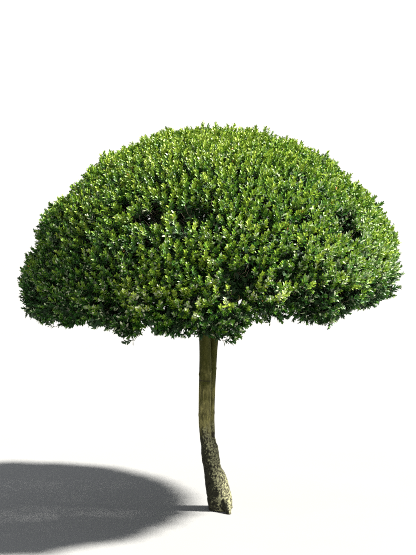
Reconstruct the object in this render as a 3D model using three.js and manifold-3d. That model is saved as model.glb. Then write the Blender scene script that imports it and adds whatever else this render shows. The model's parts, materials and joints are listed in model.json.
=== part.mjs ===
// A small-leaved evergreen holly, grown as a standard and clipped to a wide dome, rooted in the ground.
// Its foot leans and narrows into two stems, one in front of the other. They carry seven boughs, and
// the boughs and the two stem tips carry nine masses of foliage, clipped together to one outline.
// Millimetres, +Z up, +X to the viewer's right, origin at the middle of the flat cut at ground level.
import * as THREE from "three";
import { mergeVertices } from "three/addons/utils/BufferGeometryUtils.js";
import Module from "manifold-3d";

const wasm = await Module();
wasm.setup();

// The crown's outline, over the tips of its leaves.
const plantHeight = 1575; // ground to the top leaf
const crownWidth = 1545; // across the widest leaves
const crownAxis = { x: -48, y: 2 }; // the foot's lean sets the crown to one side of it
const widestHeight = 980; // where the crown is widest
const hemHeight = 825; // lowest leaves round the rim
const vaultHeight = 980; // leaves of the hollow underside, round the stems
const hemWidth = 115; // how far the rim rounds in under the widest line
const domeBulge = 1.93; // 2 is an ellipse, and less is more pointed
const clippedAslant = { widest: 35, hem: 28, bulge: 0.1, hemWidth: 35 }; // more on the right
const hemWaves = [ // the rim is cut higher in some places than in others
  { azimuth: 24, width: 15, rise: -12 },
  { azimuth: 62, width: 13, rise: 15 },
  { azimuth: 104, width: 14, rise: -12 },
  { azimuth: 141, width: 12, rise: 14 },
  { azimuth: 214, width: 14, rise: 9 },
  { azimuth: 229, width: 7, rise: 14 },
  { azimuth: 245, width: 5, rise: -22 },
  { azimuth: 259, width: 8, rise: -7 },
  { azimuth: 274, width: 9, rise: -28 },
  { azimuth: 285.5, width: 4, rise: 24 },
  { azimuth: 297, width: 9, rise: 18 },
  { azimuth: 312, width: 9, rise: -30 },
  { azimuth: 328, width: 7, rise: 16 },
];
const flankDips = [ // the flanks are cut flatter than the rest of the dome
  { azimuth: 183, width: 26, share: 0.318, span: 0.045, depth: 29 },
  { azimuth: 183, width: 26, share: 0.465, span: 0.05, depth: 33 },
  { azimuth: 356, width: 26, share: 0.315, span: 0.06, depth: 30 },
  { azimuth: 356, width: 26, share: 0.44, span: 0.05, depth: 10 },
];
const handClipping = 9; // how far the clipped surface wanders in and out

// The crown's solid cores.
const sprayReach = 68; // how far the foliage stands out of a core
const underShare = 0.68; // of that in the hollow underside
const coreRows = { dome: 8, hem: 3, vault: 3 }; // rows of faces from the top to under the middle
const coreColumns = 28; // faces round it
const massGap = 4; // between neighbouring masses

// The foot and the stems. Each level section is [height, x, y, radius].
const forkHeight = 297;
const seatGap = 0.3; // between pieces that meet face to face
const footSections = [
  [0, 0, 0, 49],
  [58, -4, 0, 49],
  [125, -18, 1, 45.5],
  [192, -37, 0, 36],
  [263, -51, -7, 30.5],
  [forkHeight, -59.5, -12, 24.4],
];
const backFootSections = [
  [85, -8, 6, 30],
  [145, -18, 10, 28],
  [205, -27, 15, 24],
  [263, -31, 21, 20.5],
  [forkHeight, -38, 26, 18.2],
];
const stemSections = {
  front: [
    [forkHeight + seatGap, -59.5, -12, 24],
    [337, -62, -12.5, 25],
    [397, -63.5, -13, 25.2],
    [534, -61.5, -13, 25.4],
    [715, -64, -13, 22.8],
    [875, -84, -18, 18.5],
    [1009, -126, -24, 13],
  ],
  back: [
    [forkHeight + seatGap, -38, 26, 17.6],
    [397, -40.5, 27, 17.4],
    [534, -37, 26, 17.8],
    [715, -24, 19, 16.8],
    [875, 2, 22, 14.4],
    [1009, 42, 30, 11.5],
  ],
};
const stemSides = 10;
const stemSteps = 9;
const rootFlare = { height: 74, swell: 0.18, toes: [-58, 35, 128, 215], sharpness: 6 };
const footRipple = { swell: 0.03, count: 3 };

// The masses, by their azimuth from +X towards +Y. A point of the crown belongs to the nearest heart.
// A mass with a startHeight has a bough that leaves its stem there. The stems' tips carry the others.
const masses = [
  { name: "right", azimuth: 8, stem: "back", startHeight: 831 },
  { name: "back_right", azimuth: 58, stem: "back", startHeight: 771 },
  { name: "back_left", azimuth: 112, stem: "front", startHeight: 749 },
  { name: "left", azimuth: 172, stem: "front", startHeight: 799 },
  { name: "front_left", azimuth: 222, stem: "front", startHeight: 855 },
  { name: "front", azimuth: 272, stem: "front", startHeight: 733 },
  { name: "front_right", azimuth: 322, stem: "back", startHeight: 737 },
  { name: "top_left", azimuth: 187, stem: "front" },
  { name: "top_right", azimuth: 7, stem: "back" },
];
const sideHearts = { radius: 482, height: 1037 };
const topHearts = { radius: 205, height: 1317 };
const bough = { startRadius: 14.5, tipRadius: 9, tipFromAxis: 305, belowCore: 16, rise: 0.45 };
const massStem = { length: 190, tipShare: 0.55 };

// A spray stands for a hand's breadth of leafy shoots: one twig, with three leaves larger than life.
const spraySpacing = 152;
const underSpacing = 190;
const twig = { length: 17, radius: 7, tipShare: 0.75, sunk: 20 };
const leaf = { length: 76, width: 50, thickness: 5, widest: 0.6, thickest: 0.35 };
const leafPlaces = [
  { along: 0.35, splay: 66 },
  { along: 0.6, splay: 54 },
  { along: 0.85, splay: 42 },
];
const growthLift = 0.4; // shoots on the flanks turn up towards the light
const rollTries = 6;
const limbClearance = 7;

const colours = { bark: 0x7a735c, stem: 0x6f7050, foliage: 0x4f7a2c };
const radians = THREE.MathUtils.degToRad;
const up = new THREE.Vector3(0, 0, 1);

// The same sequence of numbers from 0 to 1 on each run.
function seededRandom(seed) {
  let state = seed;
  return () => {
    state = (state + 0x6d2b79f5) | 0;
    let mixed = Math.imul(state ^ (state >>> 15), 1 | state);
    mixed = (mixed + Math.imul(mixed ^ (mixed >>> 7), 61 | mixed)) ^ mixed;
    return ((mixed ^ (mixed >>> 14)) >>> 0) / 4294967296;
  };
}

// A closed geometry as a solid that can be joined and cut.
function solid(geometry) {
  const bare = geometry.clone();
  bare.deleteAttribute("normal");
  bare.deleteAttribute("uv");
  const merged = mergeVertices(bare, 1e-3);
  const vertProperties = merged.attributes.position.array;
  const triVerts = new Uint32Array(merged.index.array);
  return new wasm.Manifold(new wasm.Mesh({ numProp: 3, vertProperties, triVerts }));
}

// Joins solids, fills what the joining sealed in, and drops any scrap that came loose.
function fused(solids) {
  const bodies = solids.reduce((whole, next) => whole.add(next)).decompose();
  return bodies.reduce((best, next) => (next.volume() > best.volume() ? next : best));
}

function meshOf(name, made, colour, roughness) {
  const { vertProperties, triVerts } = made.getMesh();
  const geometry = new THREE.BufferGeometry();
  geometry.setAttribute("position", new THREE.BufferAttribute(vertProperties, 3));
  geometry.setIndex(new THREE.BufferAttribute(triVerts, 1));
  geometry.computeVertexNormals();
  const material = new THREE.MeshStandardMaterial({ color: colour, roughness, metalness: 0 });
  const mesh = new THREE.Mesh(geometry, material);
  mesh.name = name;
  return mesh;
}

// The smooth path through a limb's level sections.
function pathThrough(sections) {
  const points = sections.map(([height, x, y]) => new THREE.Vector3(x, y, height));
  return new THREE.CatmullRomCurve3(points, false, "centripetal");
}

// A limb with level sections. swell(angle, height) is how much wider than its radius it is there.
function uprightLimb(sections, { sides = stemSides, steps = stemSteps, grown = 0, swell = () => 1 } = {}) {
  const path = pathThrough(sections);
  const radii = new THREE.SplineCurve(sections.map(([, , , radius], i) => new THREE.Vector2(i, radius)));
  const geometry = new THREE.CylinderGeometry(1, 1, 1, sides, steps);
  const position = geometry.attributes.position;
  for (let i = 0; i < position.count; i++) {
    const along = position.getY(i) + 0.5;
    const outwards = Math.hypot(position.getX(i), position.getZ(i));
    const angle = Math.atan2(position.getX(i), position.getZ(i));
    const { x, y, z } = path.getPoint(along);
    const radius = outwards * (radii.getPoint(along).y * swell(angle, z) + grown);
    position.setXYZ(i, x + radius * Math.cos(angle), y + radius * Math.sin(angle), z);
  }
  return solid(geometry);
}

// A limb with sections square to its path, tapering from one radius to the other.
function slantingLimb(path, startRadius, tipRadius, sides = 8, steps = 5) {
  const geometry = new THREE.CylinderGeometry(1, 1, 1, sides, steps);
  const position = geometry.attributes.position;
  const reference = up.clone().cross(path.getTangent(0)).normalize();
  for (let i = 0; i < position.count; i++) {
    const along = position.getY(i) + 0.5;
    const radius = startRadius + (tipRadius - startRadius) * along;
    const tangent = path.getTangent(along);
    const lifted = reference.clone().cross(tangent).normalize();
    const sideways = lifted.clone().cross(tangent);
    const { x, y, z } = path.getPoint(along)
      .addScaledVector(lifted, radius * position.getX(i))
      .addScaledVector(sideways, radius * position.getZ(i));
    position.setXYZ(i, x, y, z);
  }
  return solid(geometry);
}

// The foot spreads in toes at the ground, and its skin ripples slightly above them.
function footSwell(angle, height) {
  const low = Math.max(0, 1 - height / rootFlare.height) ** 2;
  const toes = rootFlare.toes.reduce((sum, toe) => {
    return sum + Math.max(0, Math.cos(angle - radians(toe))) ** rootFlare.sharpness;
  }, 0);
  return 1 + rootFlare.swell * low * (toes - 0.4) + footRipple.swell * Math.sin(footRipple.count * angle);
}

// The foot, joined along one side with the foot of the back stem up to the fork.
function makeTrunk() {
  const foot = uprightLimb(footSections, { sides: 18, steps: 11, swell: footSwell });
  const backFoot = uprightLimb(backFootSections, { sides: 12, steps: 5 });
  return fused([foot, backFoot]);
}

const rowCount = coreRows.dome + coreRows.hem + coreRows.vault;
const hemStart = coreRows.dome / rowCount;
const vaultStart = (coreRows.dome + coreRows.hem) / rowCount;

// How far an azimuth is from the middle of a wave or dip, in shares of its width.
function apartFrom(azimuth, place) {
  const turn = azimuth - radians(place.azimuth) + Math.PI;
  const apart = THREE.MathUtils.euclideanModulo(turn, 2 * Math.PI) - Math.PI;
  return apart / radians(place.width);
}

// How much higher the rim is cut there.
function hemRise(azimuth) {
  return hemWaves.reduce((sum, wave) => sum + wave.rise * Math.exp(-(apartFrom(azimuth, wave) ** 2)), 0);
}

// How far the dome is cut back there.
function flankDepth(azimuth, share) {
  return flankDips.reduce((sum, dip) => {
    const apart = apartFrom(azimuth, dip) ** 2 + ((share - dip.share) / dip.span) ** 2;
    return sum + dip.depth * Math.exp(-apart);
  }, 0);
}

// A point of the crown, inset from its surface. share is 0 at the top and 1 under the middle.
function crownPoint(azimuth, share, surfaceInset = 0) {
  const inset = surfaceInset + flankDepth(azimuth, share);
  const side = Math.cos(azimuth);
  const wander = handClipping * Math.sin(3 * azimuth + 9 * share) * Math.sin(7 * share + 2 * azimuth);
  const outer = crownWidth / 2 - inset + wander * Math.sin(Math.PI * share);
  const inner = outer - hemWidth - clippedAslant.hemWidth * side;
  const widest = widestHeight + clippedAslant.widest * side;
  const hem = hemHeight + clippedAslant.hem * side + hemRise(azimuth) + inset;
  const vault = vaultHeight + inset * underShare;
  let radius;
  let height;
  if (share <= hemStart) {
    const rise = (1 - share / hemStart) * (Math.PI / 2);
    const power = 2 / (domeBulge + clippedAslant.bulge * side);
    radius = outer * Math.max(0, Math.cos(rise)) ** power;
    height = widest + (plantHeight - inset - widest) * Math.sin(rise) ** power;
  } else if (share <= vaultStart) {
    const dip = ((share - hemStart) / (vaultStart - hemStart)) * (Math.PI / 2);
    radius = inner + (outer - inner) * Math.cos(dip);
    height = widest - (widest - hem) * Math.sin(dip);
  } else {
    const outwards = Math.max(0, (1 - share) / (1 - vaultStart));
    radius = inner * outwards;
    height = hem + (vault - hem) * (1 - outwards ** 2);
  }
  return new THREE.Vector3(radius * Math.cos(azimuth), radius * Math.sin(azimuth), height);
}

function corePoint(azimuth, share) {
  return crownPoint(azimuth, share, sprayReach);
}

// The direction square to the core's surface, pointing out.
function coreNormal(azimuth, share) {
  const step = 0.01;
  const middle = Math.min(1 - 2 * step, Math.max(2 * step, share));
  const round = corePoint(azimuth + step, middle).sub(corePoint(azimuth - step, middle));
  const down = corePoint(azimuth, middle + step).sub(corePoint(azimuth, middle - step));
  return down.cross(round).normalize();
}

// The core of the whole crown, before it is parted among the masses.
function makeWholeCore() {
  const geometry = new THREE.SphereGeometry(1, coreColumns, rowCount);
  const position = geometry.attributes.position;
  for (let i = 0; i < position.count; i++) {
    const row = Math.floor(i / (coreColumns + 1));
    const column = i % (coreColumns + 1);
    const { x, y, z } = corePoint((2 * Math.PI * column) / coreColumns, row / rowCount);
    position.setXYZ(i, x, y, z);
  }
  return solid(geometry);
}

for (const mass of masses) {
  const { radius, height } = mass.startHeight ? sideHearts : topHearts;
  const azimuth = radians(mass.azimuth);
  mass.heart = new THREE.Vector3(radius * Math.cos(azimuth), radius * Math.sin(azimuth), height);
}

// A mass's own space ends at the planes halfway to its neighbours, drawn in by half the gap.
function bordersOf(mass) {
  return masses.filter((other) => other !== mass).map((other) => {
    const normal = mass.heart.clone().sub(other.heart).normalize();
    const middle = mass.heart.clone().add(other.heart).multiplyScalar(0.5);
    return { normal, offset: middle.dot(normal) + massGap / 2 };
  });
}

function isInside(point, borders) {
  return borders.every(({ normal, offset }) => point.dot(normal) >= offset);
}

// The middle of a stem at a height.
function stemCentre(sections, height) {
  const next = sections.findIndex(([z]) => z > height);
  const [z0, x0, y0] = sections[next - 1];
  const [z1, x1, y1] = sections[next];
  const share = (height - z0) / (z1 - z0);
  return new THREE.Vector3(x0 + (x1 - x0) * share, y0 + (y1 - y0) * share, height);
}

// A point of the wood as measured from the crown's axis.
const axisFoot = new THREE.Vector3(crownAxis.x, crownAxis.y, 0);
function fromCrownAxis(point) {
  return point.clone().sub(axisFoot);
}

// The tip of the limb that carries a mass, from the crown's axis: its radius, the way that its end
// faces, and the way that it leans. A stem's end is level, and a bough's is square to it.
function limbTip(mass) {
  if (!mass.startHeight) {
    const lastSections = stemSections[mass.stem].slice(-2);
    const [before, end] = pathThrough(lastSections).points;
    const lean = end.clone().sub(before).normalize();
    return { point: fromCrownAxis(end), radius: lastSections[1][3], facing: up, lean };
  }
  const azimuth = radians(mass.azimuth);
  const { x, y } = corePoint(azimuth, vaultStart);
  const share = 1 - (bough.tipFromAxis / Math.hypot(x, y)) * (1 - vaultStart);
  const point = corePoint(azimuth, share).addScaledVector(up, -bough.belowCore);
  const facing = mass.heart.clone().sub(point).normalize();
  return { point, radius: bough.tipRadius, facing, lean: facing };
}

function boughPath(mass) {
  const start = stemCentre(stemSections[mass.stem], mass.startHeight);
  const { point, facing } = limbTip(mass);
  const tip = point.clone().add(axisFoot);
  const bend = tip.clone().addScaledVector(facing, -bough.rise * tip.distanceTo(start));
  return new THREE.QuadraticBezierCurve3(start, bend, tip);
}

// A bough begins on the skin of its stem, so the stem is cut out of its root.
function makeBough(mass) {
  const whole = slantingLimb(boughPath(mass), bough.startRadius, bough.tipRadius);
  const grownStem = uprightLimb(stemSections[mass.stem], { grown: seatGap + 0.1 });
  return fused([whole.subtract(grownStem)]);
}

// The stem inside a mass, which takes over from the limb's tip.
function makeMassStem(mass) {
  const { point, radius, facing, lean } = limbTip(mass);
  const start = point.clone().addScaledVector(facing, seatGap);
  const bend = start.clone().addScaledVector(facing, massStem.length / 3);
  const end = start.clone().addScaledVector(lean, massStem.length);
  const path = new THREE.QuadraticBezierCurve3(start, bend, end);
  return slantingLimb(path, radius, radius * massStem.tipShare, 6, 2);
}

// Points along every limb with its thickest radius, for the sprays to keep clear of.
function pointsOnLimbs() {
  const stems = Object.values(stemSections).map((sections) => {
    const radii = sections.map(([, , , radius]) => radius);
    return { path: pathThrough(sections), radius: Math.max(...radii) };
  });
  const boughs = masses.filter((mass) => mass.startHeight).map((mass) => {
    return { path: boughPath(mass), radius: bough.startRadius };
  });
  return [...stems, ...boughs].flatMap(({ path, radius }) => {
    return path.getPoints(40).map((point) => ({ point: fromCrownAxis(point), radius }));
  });
}
const limbPoints = pointsOnLimbs();

function isClearOfLimbs(corner) {
  return limbPoints.every(({ point, radius }) => corner.distanceTo(point) > radius + limbClearance);
}

function fits(geometry, borders) {
  const position = geometry.attributes.position;
  for (let i = 0; i < position.count; i++) {
    const corner = new THREE.Vector3().fromBufferAttribute(position, i);
    if (!isInside(corner, borders) || !isClearOfLimbs(corner)) return false;
  }
  return true;
}

// A blade of eight faces, with its root at the origin, its length along +Y and its face towards +Z.
function makeLeaf(size) {
  const geometry = new THREE.OctahedronGeometry(1, 0);
  const position = geometry.attributes.position;
  for (let i = 0; i < position.count; i++) {
    const [x, y, z] = [position.getX(i), position.getY(i), position.getZ(i)];
    const middle = Math.abs(z) > 0.5 ? leaf.thickest : leaf.widest;
    const along = Math.abs(y) > 0.5 ? Math.max(0, y) : middle;
    position.setXYZ(i, (x * leaf.width) / 2, along * leaf.length, (z * leaf.thickness) / 2);
  }
  return geometry.scale(size, size, size);
}

// One twig that stands out of a core, with a leaf from each of its three faces. A leaf that would leave
// the mass's space or touch a limb is left out, and so is a twig, with its leaves.
function sprayAt(base, direction, size, roll, borders) {
  const turned = new THREE.Quaternion().setFromUnitVectors(new THREE.Vector3(0, 1, 0), direction);
  turned.multiply(new THREE.Quaternion().setFromAxisAngle(new THREE.Vector3(0, 1, 0), roll));
  const whole = twig.length * size + twig.sunk;
  const start = base.clone().addScaledVector(direction, -twig.sunk);
  const stick = new THREE.CylinderGeometry(twig.radius * twig.tipShare, twig.radius, whole, 3, 1);
  stick.translate(0, whole / 2, 0).applyQuaternion(turned).translate(start.x, start.y, start.z);
  if (!fits(stick, borders)) return [];
  const blades = leafPlaces.map(({ along, splay }, face) => {
    const turn = (2 * Math.PI * (face + 0.5)) / 3;
    const away = new THREE.Vector3(Math.sin(turn), 0, Math.cos(turn)).applyQuaternion(turned);
    const heading = direction.clone().multiplyScalar(Math.cos(radians(splay)))
      .addScaledVector(away, Math.sin(radians(splay)));
    const across = heading.clone().cross(direction).normalize();
    const facing = across.clone().cross(heading);
    const root = base.clone().addScaledVector(direction, along * twig.length * size);
    const seat = new THREE.Matrix4().makeBasis(across, heading, facing).setPosition(root);
    return makeLeaf(size).applyMatrix4(seat);
  });
  return [stick, ...blades.filter((blade) => fits(blade, borders))];
}

// A spray is turned the way that keeps the most of its leaves, for near a border some turns lose them.
function makeSpray(base, direction, size, random, borders) {
  const firstRoll = random() * 2 * Math.PI;
  const rolls = Array.from({ length: rollTries }, (_, i) => firstRoll + (2 * Math.PI * i) / rollTries);
  const tried = rolls.map((roll) => sprayAt(base, direction, size, roll, borders));
  return tried.reduce((best, next) => (next.length > best.length ? next : best));
}

// Places for sprays: rows down the core, each with as many as its length round the crown needs.
function sprayPlaces() {
  const places = [];
  const random = seededRandom(41);
  const measureSteps = 240;
  const measureAzimuth = 0.8;
  let travelled = spraySpacing / 2;
  let before = corePoint(measureAzimuth, 0);
  for (let i = 1; i <= measureSteps; i++) {
    const share = i / measureSteps;
    const here = corePoint(measureAzimuth, share);
    const spacing = share > vaultStart ? underSpacing : spraySpacing;
    travelled += here.distanceTo(before);
    before = here;
    if (travelled < spacing * 0.87) continue;
    travelled = 0;
    const count = Math.max(1, Math.round((2 * Math.PI * Math.hypot(here.x, here.y)) / spacing));
    const offset = random() * 2 * Math.PI;
    for (let k = 0; k < count; k++) {
      const azimuth = offset + (2 * Math.PI * (k + 0.35 * (random() - 0.5))) / count;
      places.push({ azimuth, share: Math.min(1, share + 0.02 * (random() - 0.5)) });
    }
  }
  return places;
}

const places = sprayPlaces();
const wholeCore = makeWholeCore();

// A mass: its share of the core, the stem that carries it, and the sprays that stand in its space.
function makeMass(mass, index) {
  const borders = bordersOf(mass);
  const random = seededRandom(100 + index);
  const core = borders.reduce((rest, { normal, offset }) => {
    return rest.trimByPlane([normal.x, normal.y, normal.z], offset);
  }, wholeCore);
  const pieces = [core, makeMassStem(mass)];
  for (const { azimuth, share } of places) {
    const base = corePoint(azimuth, share);
    if (!isInside(base, borders)) continue;
    const isUnder = share > vaultStart;
    const normal = coreNormal(azimuth, share);
    const lift = isUnder ? 0 : growthLift * (1 - Math.max(0, normal.z));
    const direction = normal.addScaledVector(up, lift).normalize();
    const size = (isUnder ? underShare : 1) * (0.94 + 0.12 * random());
    pieces.push(...makeSpray(base, direction, size, random, borders).map(solid));
  }
  return fused(pieces);
}

const wood = new THREE.Group();
wood.add(meshOf("trunk", makeTrunk(), colours.bark, 0.9));
for (const [side, sections] of Object.entries(stemSections)) {
  wood.add(meshOf("stem_" + side, uprightLimb(sections), colours.stem, 0.85));
}
for (const mass of masses.filter(({ startHeight }) => startHeight)) {
  wood.add(meshOf("bough_" + mass.name, makeBough(mass), colours.stem, 0.85));
}

const crown = new THREE.Group();
crown.position.copy(axisFoot);
masses.forEach((mass, index) => {
  crown.add(meshOf("foliage_" + mass.name, makeMass(mass, index), colours.foliage, 0.6));
});

const plant = new THREE.Group();
plant.add(wood, crown);

export default plant;
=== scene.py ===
"""A small-leaved evergreen holly, grown as a standard and clipped to a wide dome, rooted in the ground.

The wood is one skin with the bark's relief. The crown grows on from the tips of the limbs: branches, twigs
and leafy shoots, each mass of foliage in its own space. Metres, +Z up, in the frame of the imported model.
"""

import json
import math

import bpy
import numpy as np
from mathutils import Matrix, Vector

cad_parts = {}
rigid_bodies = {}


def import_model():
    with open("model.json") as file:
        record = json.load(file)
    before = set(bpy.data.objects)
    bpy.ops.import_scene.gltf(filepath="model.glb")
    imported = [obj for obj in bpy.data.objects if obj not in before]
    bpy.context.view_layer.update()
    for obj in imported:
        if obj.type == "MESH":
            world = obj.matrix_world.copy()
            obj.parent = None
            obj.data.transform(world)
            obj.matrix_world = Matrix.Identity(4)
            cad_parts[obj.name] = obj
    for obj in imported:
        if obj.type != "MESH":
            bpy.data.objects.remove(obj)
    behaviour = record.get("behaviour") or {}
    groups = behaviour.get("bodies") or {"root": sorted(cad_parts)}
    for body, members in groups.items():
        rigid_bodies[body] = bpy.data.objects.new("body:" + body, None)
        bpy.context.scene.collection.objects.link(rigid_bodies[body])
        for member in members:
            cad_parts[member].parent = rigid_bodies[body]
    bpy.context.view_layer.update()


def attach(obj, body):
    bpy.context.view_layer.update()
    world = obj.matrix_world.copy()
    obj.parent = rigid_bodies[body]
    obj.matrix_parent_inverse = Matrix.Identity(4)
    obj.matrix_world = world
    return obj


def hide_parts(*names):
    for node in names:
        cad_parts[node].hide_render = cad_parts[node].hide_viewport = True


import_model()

bl_info = {
    "name": "Clipped standard holly",
    "version": (1, 0, 0),
    "blender": (4, 5, 0),
    "location": "3D View > Sidebar > Holly",
    "description": "Bark, twigs and leaves for a clipped standard holly",
    "category": "Object",
}

# The limbs, as in the part's source. Each level section is (height, x, y, radius).
FORK_HEIGHT = 0.297
FOOT_SECTIONS = (
    (0.000, 0.000, 0.000, 0.0490),
    (0.058, -0.004, 0.000, 0.0490),
    (0.125, -0.018, 0.001, 0.0455),
    (0.192, -0.037, 0.000, 0.0360),
    (0.263, -0.051, -0.007, 0.0305),
)
BACK_FOOT_SECTIONS = (
    (0.085, -0.008, 0.006, 0.0300),
    (0.145, -0.018, 0.010, 0.0280),
    (0.205, -0.027, 0.015, 0.0240),
    (0.263, -0.031, 0.021, 0.0205),
)
STEM_SECTIONS = {
    "front": (
        (0.297, -0.0595, -0.0120, 0.0244),
        (0.337, -0.0620, -0.0125, 0.0250),
        (0.397, -0.0635, -0.0130, 0.0252),
        (0.534, -0.0615, -0.0130, 0.0254),
        (0.715, -0.0640, -0.0130, 0.0228),
        (0.875, -0.0840, -0.0180, 0.0185),
        (1.009, -0.1260, -0.0240, 0.0130),
    ),
    "back": (
        (0.297, -0.0380, 0.0260, 0.0180),
        (0.397, -0.0405, 0.0270, 0.0174),
        (0.534, -0.0370, 0.0260, 0.0178),
        (0.715, -0.0240, 0.0190, 0.0168),
        (0.875, 0.0020, 0.0220, 0.0144),
        (1.009, 0.0420, 0.0300, 0.0115),
    ),
}
ROOT_FLARE = {"height": 0.074, "swell": 0.18, "toes": (-58, 35, 128, 215), "sharpness": 6}
FOOT_RIPPLE = {"swell": 0.03, "count": 3, "from_height": 0.2, "fades_over": 0.1}
ROOT_TOE = ((0.012, -0.015, 0.06), (0.03, -0.055, 0.025), (0.036, -0.088, -0.004))
ROOT_TOE_RADII = (0.026, 0.010)
LIMB_STEP = 0.004  # between the level rings of the trunk and stems
LIMB_SIDES = {"front": 56, "back": 40, "bough": 24, "toe": 20}
# Spacing of the bark's relief, one for all directions or three
BARK_RELIEF = {
    "knob": (0.03, 0.03, 0.042),
    "small_knob": 0.013,
    "pit": (0.011, 0.011, 0.03),
    "flute": (0.021, 0.021, 0.17),
    "small_flute": (0.009, 0.009, 0.07),
    "dot": (0.006, 0.006, 0.003),
}
# Raised rings round the stems: height on the front stem, slope to the right, swelling, width.
STEM_RINGS = ((0.57, 0.25, 0.0016, 0.005), (0.397, 0.0, 0.0011, 0.006))
FRONT_STEM_X = -0.06
RING_HEIGHT = 0.537  # a healed ring on the front stem, drawn as a dark line
KNOT = (-0.026, 0.010, 0.308)  # where a branch was cut off at the fork

# The masses of foliage: name, azimuth, the stem that carries it, and where its bough leaves that stem. The
# tips of the stems carry the two that have no bough.
MASSES = (
    ("right", 8, "back", 0.831),
    ("back_right", 58, "back", 0.771),
    ("back_left", 112, "front", 0.749),
    ("left", 172, "front", 0.799),
    ("front_left", 222, "front", 0.855),
    ("front", 272, "front", 0.733),
    ("front_right", 322, "back", 0.737),
    ("top_left", 187, "front", None),
    ("top_right", 7, "back", None),
)
SIDE_HEART = (0.482, 1.037)  # distance from the crown's axis, and height
TOP_HEART = (0.205, 1.317)
BOUGH = {"radii": (0.0145, 0.009), "tip_from_axis": 0.305, "below_core": 0.016, "rise": 0.45, "steps": 60}
BOUGH_COLLAR = {"swell": 0.006, "share": 0.1}
MASS_STEM = {"length": 0.19, "tip_share": 0.55, "sunk": 0.004, "steps": 9, "sides": 8}
# The wood inside a mass: how far towards the core it reaches from the heart, how far apart its ends are on
# the dome and underneath, and its radii at root and tip.
BRANCH = {"reach": 0.5, "spacings": (0.2, 0.24), "radii": (0.0052, 0.003), "steps": 7, "sides": 6}
TWIG = {"reach": 0.84, "spacings": (0.075, 0.1), "radii": (0.003, 0.0017), "steps": 5, "sides": 4}
SHOOT_TWIG_RADII = (0.0016, 0.0013, 0.0011, 0.0)
SHOOT_TWIG_SHORT = 0.006  # of the tip of its leaves
FORK_SHIFT = 0.02  # right, back and up, so that branches leave the stem a little lower
FORK_BEND = 0.5  # share of a branch's or twig's length along which it runs straight to its end
SHOOT_TWIG_BEND = 0.45
CROWN_AXIS = np.array((-0.048, 0.002, 0.0))
HEM_START = 8 / 14  # shares of the way from the crown's top, over its rim, to under its middle
VAULT_START = 11 / 14
CORE_INSET = 0.068  # the core is inside the leaves by this much
UNDER_SHARE = 0.68  # of an inset that the vault follows
# What the crown's right side has more of than its middle, and the left side less
CLIPPED_ASLANT = {"widest": 0.035, "hem": 0.028, "bulge": 0.1, "hem_width": 0.035}
# Places in rows down the core: the gap between rows as a share of that between places, how loosely they
# stand as a share of their gap, and the azimuth at which the rows are measured out.
ROWS = {"gap": 0.87, "loose": 0.8, "azimuth": 0.8, "steps": 2400}
# How far the shoots' tips are inset: on the whole, more in the grooves between two twigs' shoots, and less
# on the lumps of single twigs and on wider clumps. All stray a little, and a few stand out.
TIP_INSET = {"all": 0.013, "groove": 0.014, "lump": 0.008, "clump": 0.011, "stray": 0.0065, "tall": 0.014}
TIP_LIMITS = (-0.014, 0.16)
GROOVE_WIDTH = 0.02
LUMP_SPACING, CLUMP_SPACING = 0.02, 0.075
TALL_SHOOTS = 0.02  # share of all shoots
SHOOT_SIZES = (0.8, 1.15)
UNDER_SHOOT = 0.7  # length of a shoot underneath, as a share of the others
SPRIG_SIZES = (0.3, 1.2)
# Shoots that have died back in a hollow, once it is as deep as given: their share high up and low down
DEAD_SHOOTS = {"deep": 0.05, "high": 0.9, "low": 0.45, "low_from": 0.58}
FAN = {"lean": 0.3, "reach": 0.06, "sway": 0.16}  # how shoots fan out from their twig
LEAF_CLEARANCE = 0.045  # between the middle of a shoot and a limb's skin
# Small hollows on the back: how many, and the least and the spread of each measure, azimuths in half turns.
STRAY_HOLLOWS = {
    "count": 30,
    "azimuth": (-0.08, 1.16),
    "share": (0.12, 0.5),
    "radius": (0.022, 0.02),
    "depth": (0.03, 0.03),
}
# The rim is cut higher in some places than in others: azimuth, width in degrees, rise.
HEM_WAVES = (
    (24, 15, -0.012),
    (62, 13, 0.015),
    (104, 14, -0.012),
    (141, 12, 0.014),
    (214, 14, 0.009),
    (229, 7, 0.014),
    (245, 5, -0.022),
    (250.8, 1.8, 0.030),
    (259, 8, -0.007),
    (274, 9, -0.028),
    (285.5, 4, 0.024),
    (297, 9, 0.018),
    (312, 9, -0.030),
    (328, 7, 0.016),
)

# The flanks are cut flatter than the rest of the dome, and a tuft was missed: azimuth, share of the way
# down, their widths, depth.
FLANK_DIPS = (
    (183, 0.318, 26, 0.045, 0.029),
    (183, 0.465, 26, 0.050, 0.033),
    (356, 0.315, 26, 0.060, 0.030),
    (356, 0.440, 26, 0.050, 0.010),
    (171, 0.232, 5, 0.020, -0.026),
)
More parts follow.
